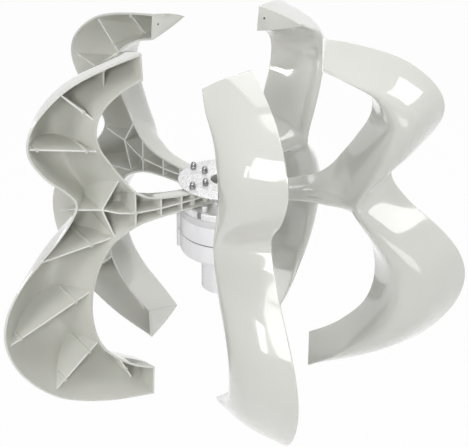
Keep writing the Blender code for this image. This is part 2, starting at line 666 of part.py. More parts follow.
def make_stator():
    slot_inner_r = STATOR_BORE_R - 2
    slots, bars = [], []
    bar_inner_r = STATOR_BORE_R + 2
    bar_outer_r = SLOT_BOTTOM_R - SEAT
    for count in range(SLOT_COUNT):
        angle = (count + 0.5) * 360 / SLOT_COUNT
        slots.append(block((SLOT_BOTTOM_R - slot_inner_r, SLOT_WIDTH, ROTOR_TOP - ROTOR_Z + 2),
                           ((SLOT_BOTTOM_R + slot_inner_r) / 2, 0, (ROTOR_Z + ROTOR_TOP) / 2), angle))
        bars.append(block((bar_outer_r - bar_inner_r - 1, SLOT_WIDTH - 2 * SEAT, ROTOR_TOP - ROTOR_Z + 2),
                          ((bar_outer_r + bar_inner_r) / 2, 0, (ROTOR_Z + ROTOR_TOP) / 2), angle))
    notches = [
        rod(PILLAR_R + SEAT, ROTOR_Z - 1, ROTOR_TOP + 1, placed(CASING_SCREW_CIRCLE_R, angle))
        for angle in CASING_SCREW_ANGLES
    ]
    core = ring(STATOR_BORE_R, STATOR_R, ROTOR_Z, ROTOR_TOP, 36)
    piece("stator_core", cut(cut(core, slots), notches), LAMINATION)
    lower = ring(bar_inner_r, bar_outer_r, ROTOR_Z - SEAT - WINDING_OVERHANG, ROTOR_Z - SEAT)
    upper = ring(bar_inner_r, bar_outer_r, ROTOR_TOP + SEAT, ROTOR_TOP + SEAT + WINDING_OVERHANG)
    winding = lower
    for addition in bars + [upper]:
        winding = joined(winding, [addition])
    piece("stator_winding", winding, COPPER)


def make_casings():
    screw_hole_r = CASING_SCREW_R + HOLE_CLEARANCE
    places = [placed(CASING_SCREW_CIRCLE_R, angle) for angle in CASING_SCREW_ANGLES]
    cable = placed(BOSS_OUTER_R - CABLE_HOLE_R + 0.3, 90)

    def lugs(low, high):
        return [rod(LUG_R, low, high, placed(LUG_CIRCLE_R, angle)) for angle in CASING_SCREW_ANGLES]

    corner = [
        (CASING_R - CASING_CORNER_R * (1 - math.sin(a)), LOWER_CASING_Z + CASING_CORNER_R * (1 - math.cos(a)))
        for a in (math.radians(step * 30) for step in range(4))
    ]
    lower = turned((
        (0, SPIGOT_Z), (SPIGOT_R, SPIGOT_Z), (SPIGOT_R, LOWER_CASING_Z), *corner,
        (CASING_R, LOWER_CASING_TOP - EDGE), (CASING_R - EDGE, LOWER_CASING_TOP),
        (CASING_BORE_R, LOWER_CASING_TOP), (CASING_BORE_R, LOWER_FLOOR_Z), (BOSS_OUTER_R, LOWER_FLOOR_Z),
        (BOSS_OUTER_R, LOWER_BEARING_TOP), (BEARING_SEAT_R, LOWER_BEARING_TOP),
        (BEARING_SEAT_R, LOWER_FLOOR_Z), (0, LOWER_FLOOR_Z),
    ), 32)
    pillars = [rod(PILLAR_R, LOWER_FLOOR_Z - 1, LOWER_CASING_TOP, spot) for spot in places]
    holes = [rod(screw_hole_r, LOWER_FLOOR_Z + 4, LOWER_CASING_TOP + 1, spot, 8) for spot in places]
    holes.append(rod(CABLE_HOLE_R, SPIGOT_Z - 1, LOWER_BEARING_TOP + 1, cable, 8))
    pillars += lugs(LOWER_CASING_TOP - LUG_BELOW_SEAM, LOWER_CASING_TOP)
    piece("casing_lower", cut(joined(lower, pillars), holes), WHITE_PAINT)

    shaft_hole_r = BEARING_OUTER_R - RACE_WALL - 0.7
    upper = turned((
        (CASING_R - EDGE, UPPER_CASING_Z), (CASING_R, UPPER_CASING_Z + EDGE), (CASING_R, UPPER_CASING_TOP),
        (shaft_hole_r, UPPER_CASING_TOP), (shaft_hole_r, UPPER_CEILING_Z), (BEARING_SEAT_R, UPPER_CEILING_Z),
        (BEARING_SEAT_R, UPPER_BEARING_Z), (BOSS_OUTER_R, UPPER_BEARING_Z), (BOSS_OUTER_R, UPPER_CEILING_Z),
        (CASING_BORE_R, UPPER_CEILING_Z), (CASING_BORE_R, UPPER_CASING_Z),
    ), 32)
    pillars = [rod(PILLAR_R, UPPER_CASING_Z, UPPER_CEILING_Z + 1, spot) for spot in places]
    holes = [rod(screw_hole_r, UPPER_CASING_Z - 1, UPPER_CASING_TOP + 1, spot, 8) for spot in places]
    pillars += lugs(UPPER_CASING_Z, UPPER_CASING_TOP)
    piece("casing_upper", cut(joined(upper, pillars), holes), WHITE_PAINT)

    head_z = COVER_TOP - CASING_SCREW_HEAD_H - 0.3
    cover = ring(SEAL_SEAT_R, CASING_R, COVER_Z, COVER_TOP, 32)
    holes = [rod(screw_hole_r, COVER_Z - 1, COVER_TOP + 1, spot, 8) for spot in places]
    holes += [rod(CASING_SCREW_HEAD_R + 0.4, head_z - SEAT, COVER_TOP + 1, spot) for spot in places]
    piece("casing_cover", cut(joined(cover, lugs(COVER_Z, COVER_TOP)), holes), COVER_GREY)
    piece("shaft_seal", ring(COLLAR_R + SEAT, SEAL_SEAT_R - SEAT, COVER_Z, COVER_Z + SEAL_H, 20), RUBBER)

    for number, spot in enumerate(places, 1):
        head = rod(CASING_SCREW_HEAD_R, head_z, head_z + CASING_SCREW_HEAD_H, spot)
        shank = rod(CASING_SCREW_R, LOWER_FLOOR_Z + 6, head_z + 1, spot, 8)
        piece(f"casing_screw_{number}", joined(head, [shank]), PLATED_STEEL)

    grommet = turned((
        (1.0, SPIGOT_Z - SEAT - GROMMET_COLLAR_H), (CABLE_HOLE_R + 0.8, SPIGOT_Z - SEAT - GROMMET_COLLAR_H),
        (CABLE_HOLE_R + 0.8, SPIGOT_Z - SEAT), (CABLE_HOLE_R - SEAT, SPIGOT_Z - SEAT),
        (CABLE_HOLE_R - SEAT, SPIGOT_Z + 6), (1.0, SPIGOT_Z + 6),
    ), 10)
    grommet.transform(Matrix.Translation((cable.x * MM, cable.y * MM, 0)))
    piece("cable_grommet", grommet, RUBBER)


def make_socket():
    tube = ring(SOCKET_BORE_R, SOCKET_R, 0, SOCKET_LENGTH, 32)
    holes = []
    for angle in CLAMP_SCREW_ANGLES:
        hole = rod(CLAMP_SCREW_R + HOLE_CLEARANCE, SOCKET_BORE_R - 5, SOCKET_R + 5)
        hole.transform(sideways(angle))
        holes.append(hole)
    piece("pole_socket", cut(tube, holes), WHITE_PAINT)
    for number, angle in enumerate(CLAMP_SCREW_ANGLES, 1):
        head_r = SOCKET_R + SEAT
        head = rod(CLAMP_HEAD_R, head_r, head_r + CLAMP_HEAD_H, sides=6)
        shank = rod(CLAMP_SCREW_R, SOCKET_BORE_R + 0.2, head_r + 1)
        screw = joined(head, [shank])
        screw.transform(sideways(angle))
        piece(f"clamp_screw_{number}", screw, PLATED_STEEL)


def sideways(angle):
    """Lays an upright piece along a radius at the clamp screws' height."""
    lie = Matrix.Rotation(math.pi / 2, 4, "Y")
    turn = Matrix.Rotation(math.radians(angle), 4, "Z")
    return Matrix.Translation((0, 0, CLAMP_SCREW_HEIGHT * MM)) @ turn @ lie


make_socket()
make_casings()
make_bearing("lower_bearing", LOWER_BEARING_Z)
make_bearing("upper_bearing", UPPER_BEARING_Z)
make_stator()
make_rotor()
make_shaft()
make_hub()
make_blades()
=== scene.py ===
"""The looks of a small vertical axis wind turbine: five hollow blades, their hub, and the generator
under it. Shapes are drawn in millimetres and scaled to metres as each piece is made."""

import math

import bmesh
import bpy
from mathutils import Matrix, Vector
from mathutils.bvhtree import BVHTree


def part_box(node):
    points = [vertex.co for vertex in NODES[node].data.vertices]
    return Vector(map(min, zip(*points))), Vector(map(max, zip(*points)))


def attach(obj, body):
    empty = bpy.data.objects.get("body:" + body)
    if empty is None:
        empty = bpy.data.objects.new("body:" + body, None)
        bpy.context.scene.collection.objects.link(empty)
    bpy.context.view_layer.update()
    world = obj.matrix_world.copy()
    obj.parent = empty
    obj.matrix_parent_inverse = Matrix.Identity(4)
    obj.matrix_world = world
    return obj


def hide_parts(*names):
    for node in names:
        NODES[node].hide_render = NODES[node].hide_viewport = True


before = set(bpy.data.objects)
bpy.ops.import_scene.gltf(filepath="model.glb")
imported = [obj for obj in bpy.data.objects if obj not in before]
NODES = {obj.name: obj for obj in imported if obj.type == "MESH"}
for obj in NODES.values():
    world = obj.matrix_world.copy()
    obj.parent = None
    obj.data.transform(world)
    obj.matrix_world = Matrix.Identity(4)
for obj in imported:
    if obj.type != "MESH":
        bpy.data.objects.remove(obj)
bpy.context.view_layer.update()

MM = 0.001
SEAT = 0.3  # gap between two pieces that rest on each other


def height_of(node, corner):
    """The lowest (0) or highest (1) point of a node, in millimetres."""
    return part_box(node)[corner][2] / MM


# Heights above the pole socket's mouth and radii, all read from the frame.
SOCKET_TOP = height_of("pole_socket", 1)
LOWER_TOP = height_of("casing_lower", 1)
UPPER_LOW = height_of("casing_upper", 0)
UPPER_TOP = height_of("casing_upper", 1)
COVER_LOW = height_of("casing_cover", 0)
COVER_TOP = height_of("casing_cover", 1)
FLANGE_LOW = height_of("hub_flange", 0)
FLANGE_TOP = height_of("hub_flange", 1)
PLATE_LOW = height_of("hub_top_plate", 0)
PLATE_TOP = height_of("hub_top_plate", 1)
ARM_TOP = PLATE_LOW - SEAT
ARM_HEIGHT = 20.9
SPIGOT_LOW = height_of("casing_lower", 0)
PLATE_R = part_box("hub_top_plate")[1][0] / MM
CASING_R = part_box("hub_flange")[1][0] / MM

# Generator and hub --------------------------------------------------------------------------------
SOCKET_BORE_R = 24.3
SOCKET_R = 26.5
CASING_WALL = 4.0
CASING_CORNER_R = 6.5
SEAM_HALF = 0.6  # what each casing leaves open at the seam
SEAM_DEPTH = 1.7
GASKET_THICKNESS = 0.4
UPPER_BORE_R = 15.5
COVER_BORE_R = 13.7
COVER_LIP = (1.2, 3.5, 0.55)  # how far in from the edge the lip starts and ends, and its height
LUG_ANGLES = (60, 180, 300)
LUG_R = 4.0
LUG_CIRCLE_R = CASING_R - 0.4
LUG_BELOW_SEAM = 23.5
PLATE_HOLE_R = 16.0
PLATE_EDGE_R = 0.7
NOTCH_ANGLE = 236.7
NOTCH_WIDTH = 5.8
NOTCH_DEPTH = 3.0
NOTCH_SHADE_THICKNESS = 2.0  # how thick the dark block in the notch is, painted shade of the notch
FLANGE_BORE_R = 9
FLANGE_BOSS_R = (19.5, 20.5)  # the middle boss at its top and at its foot
FLANGE_RIM_R = CASING_R - 4.7  # the raised rim that the arms rest on, outside the recess
FLANGE_RECESS = 2.2
FLANGE_POST_R = 3.6
FLANGE_POST_H = 6.0
FLANGE_POST_CIRCLE_R = 43.0
FLANGE_POST_ANGLE = NOTCH_ANGLE + 2.5
NUT_R = 3.6
NUT_HEX_H = 3.2
NUT_H = 8.0
NUT_CROWN_R = NUT_R * 0.88
CLAMP_ANGLES = (100, 280)
CLAMP_HEIGHT = 18.0
CLAMP_HEAD_R = 5.8
CLAMP_HEAD_H = 4.0
CLAMP_WASHER_H = 0.8
CLAMP_SHANK_R = 3.0

# Blades -------------------------------------------------------------------------------------------
BLADE_COUNT = 5
FIRST_BLADE_ANGLE = 212.4
WALL = 2.4
RIB_THICKNESS = 2.2
ARM_RIM = 9.0
ARM_BACK = 12.5
LEAN_START = -47.0
LEAN_SLOPE = 0.065
BOLT_CIRCLES = (27.5, 45.0)
BOLT_OFFSET = 3.0
BOSS_R = 3.8
TIP_HOLE_R = 1.2
TIP_HOLE_PLACE = (-6, 164)
RIDGE_SHARE = 0.78  # how near the ridge the skin starts to turn, as a share of the section
RIDGE_EXTRA = 2.5  # what the rounding takes off the ridge
STEPS = 3  # columns of skin between two sections
LOBE_BULGE = 0.13  # how far a section swells out of the straight line, as a share of its length
INNER_BULGE = 0.06
ARM_BULGE = (0.19, 0.28)  # the same for the arm, at its middle and at its corner
OUTSIDE, INSIDE, TIP_HOLE_PAINTED_SHADE, RIM_PAINTED_HIGHLIGHT = range(4)  # the places of a blade's materials; the inside's is darker as painted shade, the rim's is lighter as a painted highlight, and the tip hole's is a black disc of painted shade
POST_RISE = 0.9  # how far an ejector post stands over its rib
POST_R = 2.6
ARM_POST = (122, -8, 1.6, 2.4)  # radius and height of its place, its rise and its own radius
FOOT_DROP = 500  # a plate's foot is drawn this far down before it is set on the skin

# Sections of a lobe, each an outer rim (radius, height), a ridge (radius, height, depth) and an inner
# rim (radius, height, rise). Heights are from the arm's top face.
UPPER_LOBE = (
    ((107, 178), (107, 161, 54), (107, 147, 2)),
    ((152, 170), (138, 147, 56), (132, 139, 2)),
    ((200, 155), (168, 131, 57), (155, 124, 3)),
    ((238, 124), (184, 110, 58), (165, 106, 4)),
    ((247, 92), (188, 88, 57), (164, 84, 5)),
    ((228, 58), (181, 60, 56), (151, 61, 6)),
    ((205, 36), (169, 30, 55), (144, 50, 6)),
)
NOTCH_POINT = (192, 15)
JUNCTION_RIDGE = (152, -3, 53)
UPPER_ARMPIT = (137, 40, 7)
LOWER_ARMPIT = (146, -37, 6)
LOWER_LOBE = (
    ((215, -18), (160, -22, 53), (155, -46, 5)),
    ((254, -53), (180, -49, 53), (168, -64, 5)),
    ((281, -88), (202, -84, 53), (179, -93, 5)),
    ((289, -128), (208, -122, 53), (181, -130, 5)),
    ((272, -173), (194, -162, 52), (171, -164, 5)),
    ((230, -216), (168, -190, 51), (148, -189, 5)),
    ((170, -241), (137, -211, 50), (128, -203, 5)),
    ((106, -253), (106, -228, 48), (106, -213, 5)),
)
# Sections of the arm: top edge (radius, height), back (radius, height, depth), lower edge.
ARM_FLARE = (
    ((122, 20), (130, -5, 34), (124, -26)),
    ((103, 8), (104, -6.5, 19), (103, -22.5)),
    ((76, 2.2), (78, -9, 14.5), (76, -21.4)),
)
ARM_STRAIGHT = (50, 21)
STAR = (160, 0, 3)
# Each rib by the two ends of its free edge, and its ejector posts' places along it.
LOBE_RIBS = (
    (((151, -3, 169), (142, -22, 139.5)), (0.15,)),
    (((207, -4, 153), (165, -2, 112)), (0.05, 0.72)),
    (((246, -5, 95), (158, 0, 74)), (0.16, 0.8)),
    (((246, -4, -45), (150, 2, -34)), (0.05, 0.74)),
    (((286, 1, -137), (178, 6, -91)), (0.17, 0.8)),
    (((231, 5, -210), (168, 9, -153)), (0.2, 0.7)),
    (((149, 12, -192), (130, 2, -228)), (0.5,)),
)
STAR_RIBS = (
    (STAR, (194, 0, 12)),
    (STAR, (136, 3, 41)),
    (STAR, (145, 3, -38)),
)
ARM_RIB_RADII = (122, 89, 62)


class Sock:
    """One output of a shader node, on which sums can be written."""

    tree = None

    def __init__(self, output):
        self.output = output

    @classmethod
    def node(cls, kind, settings=None, **values):
        """A new node. Its sockets are given by name, or by number after an underscore."""
        made = cls.tree.nodes.new(kind)
        for name, value in (settings or {}).items():
            setattr(made, name, value)
        for name, value in values.items():
            key = int(name[1:]) if name[1:].isdigit() else name.replace("_", " ")
            cls.feed(made.inputs[key], value)
        return made

    @classmethod
    def feed(cls, socket, value):
        if isinstance(value, Sock):
            cls.tree.links.new(value.output, socket)
        elif isinstance(value, tuple) and len(value) == 3 and len(socket.default_value) == 4:
            socket.default_value = (*value, 1.0)
        else:
            socket.default_value = value

    def math(self, operation, other):
        made = Sock.node("ShaderNodeMath", {"operation": operation}, _0=self, _1=other)
        return Sock(made.outputs[0])

    def __add__(self, other):
        return self.math("ADD", other)

    __radd__ = __add__

    def __mul__(self, other):
        return self.math("MULTIPLY", other)

    __rmul__ = __mul__

    def step(self, low, high):
        """0 below low, 1 above high, and smooth between."""
        made = Sock.node("ShaderNodeMapRange", {"interpolation_type": "SMOOTHSTEP"}, Value=self)
        made.inputs["From Min"].default_value = low
        made.inputs["From Max"].default_value = high
        return Sock(made.outputs[0])


def place_on():
    """The surface's own position, in metres."""
    return Sock(Sock.node("ShaderNodeTexCoord").outputs["Object"])


def noise(scale, detail=2.0, roughness=0.5):
    made = Sock.node("ShaderNodeTexNoise", Vector=place_on(), Scale=scale, Detail=detail,
                     Roughness=roughness)
    return Sock(made.outputs["Fac"])


def blend_colours(factor, first, second):
    made = Sock.node("ShaderNodeMix", {"data_type": "RGBA"}, Factor=factor)
    Sock.feed(made.inputs[6], first)
    Sock.feed(made.inputs[7], second)
    return Sock(made.outputs[2])


def bump(height, strength, distance):
    made = Sock.node("ShaderNodeBump", Height=height, Strength=strength, Distance=distance)
    return Sock(made.outputs[0])


def finish(name, build, **fixed):
    """A material whose Principled shader takes fixed values and what build() makes from nodes."""
    made = bpy.data.materials.new(name)
    made.use_nodes = True
    Sock.tree = made.node_tree
    shader = made.node_tree.nodes["Principled BSDF"]
    for key, value in {**fixed, **build()}.items():
        Sock.feed(shader.inputs[key.replace("_", " ")], value)
    return made


def moulded(colour, rough, ripple):
    """Moulded plastic: faint flow clouds in the colour and a slight orange peel."""
    def build():
        clouds = noise(9.0, 3.0).step(0.3, 0.7)
        dark = tuple(part * 0.965 for part in colour)
        peel = noise(420.0, 2.0) * ripple + noise(60.0, 1.0) * 0.35
        return {
            "Base_Color": blend_colours(clouds, colour, dark),
            "Roughness": noise(30.0, 3.0) * 0.05 + rough,
            "Normal": bump(peel, 0.12, 0.0006),
        }
    return build


def painted(colour, rough):
    """Powder paint or rubber: sparse specks and a fine peel."""
    def build():
        speck = noise(900.0, 1.0).step(0.62, 0.72) * 0.5
        peel = noise(260.0, 2.0)
        return {
            "Base_Color": blend_colours(speck, colour, tuple(part * 0.97 for part in colour)),
            "Roughness": noise(40.0, 2.0) * 0.06 + rough,
            "Normal": bump(peel, 0.06, 0.0004),
        }
    return build


def cast_metal(light, dark, size):
    """Bead-blasted cast metal: bright and dull grains a fraction of a millimetre across."""
    def build():
        grains = noise(size, 2.0, 0.7)
        return {
            "Base_Color": blend_colours(grains.step(0.36, 0.64), dark, light),
            "Roughness": noise(size * 0.7, 2.0) * 0.35 + 0.28,
            "Normal": bump(grains, 0.35, 0.0004),
        }
    return build


def bright_metal(colour, rough):
    """Plated or ground metal with faint wear."""
    def build():
        wear = noise(120.0, 4.0, 0.6)
        worn = tuple(part * 0.88 for part in colour)
        return {
            "Base_Color": blend_colours(wear.step(0.4, 0.7), colour, worn),
            "Roughness": noise(260.0, 2.0) * 0.1 + rough,
        }
    return build


BLADE_OUTSIDE = finish("blade_gloss", moulded((0.745, 0.748, 0.698), 0.09, 0.25), IOR=1.5,
                       Coat_Weight=0.9, Coat_Roughness=0.015)
# The inside is the same plastic as the outside. Its colour is set darker as painted shade of the hollow
# side; its satin roughness is real.
BLADE_INSIDE_PAINTED_SHADE = finish("blade_satin_painted_shade", moulded((0.69, 0.693, 0.643), 0.36, 1.0), IOR=1.5)
# The rims and the ribs' free edges take a lighter copy of the plastic: a painted highlight where they
# face the lamps.
BLADE_RIM_PAINTED_HIGHLIGHT = finish("blade_edge_painted_highlight", moulded((0.87, 0.872, 0.845), 0.25, 0.4), IOR=1.5,
                   Coat_Weight=0.3, Coat_Roughness=0.1)
WHITE = finish("casing_white", painted((0.94, 0.935, 0.96), 0.22), IOR=1.5,
               Coat_Weight=0.3, Coat_Roughness=0.06)
COVER = finish("cover_grey", painted((0.76, 0.76, 0.77), 0.32), IOR=1.5)
CAST = finish("cast_hub", cast_metal((0.97, 0.97, 0.97), (0.78, 0.78, 0.79), 900.0), Metallic=0.35)
PLATE = finish("plate_silver", cast_metal((0.93, 0.93, 0.93), (0.6, 0.6, 0.61), 650.0),
               Metallic=0.35)
# The plated metal is set darker than plating, with a black edge tint: painted dark reflections that
# outline the nuts.
CHROME_PAINTED_DARK_REFLECTION = finish("nut_chrome_painted_dark_reflection", bright_metal((0.34, 0.34, 0.35), 0.09), Metallic=1.0,
                Specular_Tint=(0.02, 0.02, 0.02))
STEEL = finish("ground_steel", bright_metal((0.6, 0.6, 0.62), 0.22), Metallic=1.0)
MAGNET = finish("magnet_nickel", bright_metal((0.3, 0.3, 0.32), 0.3), Metallic=1.0)
LAMINATION = finish("sheet_steel", bright_metal((0.35, 0.36, 0.38), 0.4), Metallic=0.9)
COPPER = finish("winding_copper", bright_metal((0.78, 0.38, 0.2), 0.3), Metallic=1.0)
RUBBER = finish("rubber_black", painted((0.03, 0.03, 0.03), 0.6))

NODE_FINISH = {
    "hub_top_plate": PLATE, "hub_flange": CAST, "casing_lower": WHITE, "casing_upper": WHITE,
    "casing_cover": COVER, "pole_socket": WHITE, "shaft_seal": RUBBER, "cable_grommet": RUBBER,
    "stator_core": LAMINATION, "rotor_core": LAMINATION, "stator_winding": COPPER,
}
for name, node in NODES.items():
    chosen = NODE_FINISH.get(name)
    if chosen is None:
        chosen = (MAGNET if name.startswith("magnet") else
                  STEEL if "bearing" in name or name in ("shaft", "shaft_key") else CHROME_PAINTED_DARK_REFLECTION)
    for place in range(len(node.material_slots)):
        node.material_slots[place].material = chosen


# Making pieces ------------------------------------------------------------------------------------

SHARP_ANGLE = 40  # edges between faces that meet at more than this show as edges


def show(name, bm, materials, body, stands_for=()):
    """Adds a bmesh drawn in millimetres as a finished piece that rides on a body."""
    bmesh.ops.scale(bm, vec=(MM, MM, MM), verts=bm.verts)
    mesh = bpy.data.meshes.new(name)
    bm.to_mesh(mesh)
    bm.free()
    for material in materials:
        mesh.materials.append(material)
    mesh.shade_smooth()
    mesh.set_sharp_from_angle(angle=math.radians(SHARP_ANGLE))
    piece = bpy.data.objects.new(name, mesh)
    bpy.context.scene.collection.objects.link(piece)
    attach(piece, body)
    if stands_for:
        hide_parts(*stands_for)


def add(bm, part, material=None):
    """Adds one bmesh to another, all its faces in one material where one is given."""
    for face in part.faces if material is not None else ():
        face.material_index = material
    mesh = bpy.data.meshes.new("part")
    part.to_mesh(mesh)
    part.free()
    bm.from_mesh(mesh)
    bpy.data.meshes.remove(mesh)


def with_modifiers(holder):
    """A new mesh of an object as its modifiers leave it."""
    graph = bpy.context.evaluated_depsgraph_get()
    return bpy.data.meshes.new_from_object(holder.evaluated_get(graph))


def rounded(bm, levels):
    """The bmesh after Catmull-Clark subdivision."""
    mesh = bpy.data.meshes.new("cage")
    bm.to_mesh(mesh)
    bm.free()
    holder = bpy.data.objects.new("cage", mesh)
    bpy.context.scene.collection.objects.link(holder)
    smooth = holder.modifiers.new("smooth", "SUBSURF")
    smooth.levels = levels
    smooth.render_levels = levels
    smooth.boundary_smooth = "PRESERVE_CORNERS"
    done = with_modifiers(holder)
    bpy.data.objects.remove(holder, do_unlink=True)
    made = bmesh.new()
    made.from_mesh(done)
    bpy.data.meshes.remove(done)
    return made


def arc(middle_r, middle_z, radius, start, end, steps=6):
    """Profile points along an arc, its angles in degrees from outwards to up."""
    angles = [math.radians(start + (end - start) * step / steps) for step in range(steps + 1)]
    return [(middle_r + radius * math.cos(a), middle_z + radius * math.sin(a)) for a in angles]


def turned(profile, segments=128, closed=True):
    """A closed shape turned about the z axis from (radius, height) points. A profile that is not
    closed starts and ends on the axis."""
    bm = bmesh.new()
    spots = [bm.verts.new((radius, 0, height)) for radius, height in profile]
    pairs = list(zip(spots, spots[1:]))
    if closed:
        pairs.append((spots[-1], spots[0]))
    edges = [bm.edges.new(pair) for pair in pairs]
    bmesh.ops.spin(bm, geom=spots + edges, cent=(0, 0, 0), axis=(0, 0, 1), angle=math.tau,
                   steps=segments, use_merge=True, use_duplicate=False)
    bmesh.ops.remove_doubles(bm, verts=bm.verts, dist=0.001)
    bmesh.ops.recalc_face_normals(bm, faces=bm.faces)
    return bm


def rod(radius, low, high, spot=(0, 0), segments=40, soften=0.4):
    """An upright round bar with softened ends."""
    bm = bmesh.new()
    bmesh.ops.create_cone(bm, cap_ends=True, segments=segments, radius1=radius, radius2=radius,
                          depth=high - low)
    ends = [edge for edge in bm.edges if abs(edge.verts[0].co.z - edge.verts[1].co.z) < 0.001]
    bmesh.ops.bevel(bm, geom=ends, offset=soften, segments=3, affect="EDGES", profile=0.5,
                    material=-1)
    bmesh.ops.translate(bm, verts=bm.verts, vec=(*spot, (low + high) / 2))
    return bm


def block(size, radius, height, angle):
    """A block whose middle is at this radius, height and angle, square to its radius."""
    bm = bmesh.new()
    bmesh.ops.create_cube(bm, size=1.0)
    bmesh.ops.scale(bm, vec=size, verts=bm.verts)
    bmesh.ops.translate(bm, vec=(radius, 0, height), verts=bm.verts)
    bmesh.ops.rotate(bm, verts=bm.verts, matrix=Matrix.Rotation(math.radians(angle), 3, "Z"))
    return bm


def around(radius, angle):
    """The x and y of a place at this radius and angle."""
    return radius * math.cos(math.radians(angle)), radius * math.sin(math.radians(angle))


def carved(bm, cutter):
    """The bmesh with a cutter's shape taken out of it."""
    holders = []
    for shape in (bm, cutter):
        mesh = bpy.data.meshes.new("blank")
        shape.to_mesh(mesh)
        shape.free()
        holders.append(bpy.data.objects.new("blank", mesh))
        bpy.context.scene.collection.objects.link(holders[-1])
    cut = holders[0].modifiers.new("cut", "BOOLEAN")
    cut.object = holders[1]
    done = with_modifiers(holders[0])
    for holder in holders:
        bpy.data.objects.remove(holder, do_unlink=True)
    made = bmesh.new()
    made.from_mesh(done)
    bpy.data.meshes.remove(done)
    return made


def soften_edges(bm, offset, least, keep=lambda edge: True):
    """Bevels the edges between faces that meet at more than the least angle."""
    chosen = [edge for edge in bm.edges if len(edge.link_faces) == 2 and keep(edge)
              and edge.calc_face_angle() > math.radians(least)]
    bmesh.ops.bevel(bm, geom=chosen, offset=offset, segments=2, affect="EDGES", profile=0.5,
                    material=-1, clamp_overlap=True)


# Making the blades --------------------------------------------------------------------------------


def lean(height):
    """How far the outer rim has moved to the open side at this height."""
    return 1.0 + max(0.0, LEAN_SLOPE * (LEAN_START - height))


def rim_point(radius, height, above=0.0):
    return Vector((radius, lean(height) + above, height))


def ridge_point(radius, height, depth):
    return Vector((radius, lean(height) - depth, height))


def through(points, steps):
    """Points along a smooth curve through the given ones."""
    line = [2 * points[0] - points[1], *points, 2 * points[-1] - points[-2]]
    curve = []
    for before, start, end, after in zip(line, line[1:], line[2:], line[3:]):
        for step in range(steps):
            s = step / steps
            curve.append(0.5 * (2 * start + (end - before) * s
                                + (2 * before - 5 * start + 4 * end - after) * s**2
                                + (3 * start - before - 3 * end + after) * s**3))
    return curve + [points[-1]]


def across_section(rim, ridge, share, bulge):
    """A point between a rim and the ridge, pushed out of the line between them by a share of it."""
    chord = ridge - rim
    away = Vector((0, -1, 0))
    outward = away - away.dot(chord.normalized()) * chord.normalized()
    return rim + share * chord + outward.normalized() * bulge * chord.length


def smooth_share(value):
    """A value held between 0 and 1, with a smooth start and end."""
    value = min(1.0, max(0.0, value))
    return value * value * (3 - 2 * value)


def strip(bm, rims, ridges, junction, ends, bulge, reaches_arm):
    """One strip of the blade's skin, from a rim to the ridge or the arm's back. The ridge is sharp at
    the columns where a lobe ends, and well rounded between them."""
    columns = len(rims) - 1
    sections = []
    for column, (rim, ridge) in enumerate(zip(rims, ridges)):
        arm = smooth_share((column - junction) / (2 * STEPS)) if reaches_arm else 0.0
        flat = 1.0 if reaches_arm else min(1.0, abs(column - junction) / (1.5 * STEPS))
        sharp = max(1.0 - smooth_share(abs(column - end) / (3 * STEPS)) for end in ends)
        near = RIDGE_SHARE + (0.97 - RIDGE_SHARE) * sharp
        swell = bulge * (1 - 0.6 * sharp)
        half = across_section(rim, ridge, 0.5, flat * (swell * (1 - arm) + ARM_BULGE[0] * arm))
        turn = swell * (0.85 - 0.7 * sharp) * (1 - arm) + ARM_BULGE[1] * arm
        corner = across_section(rim, ridge, near + (0.85 - near) * arm, flat * turn)
        sections.append((rim, rim.lerp(half, 0.1), half, corner, ridge))
    grid = bmesh.ops.create_grid(bm, x_segments=columns, y_segments=4, size=1.0)
    for vertex in grid["verts"]:
        column = round((vertex.co.x + 1) / 2 * columns)
        row = round((vertex.co.y + 1) / 2 * 4)
        vertex.co = sections[column][row]


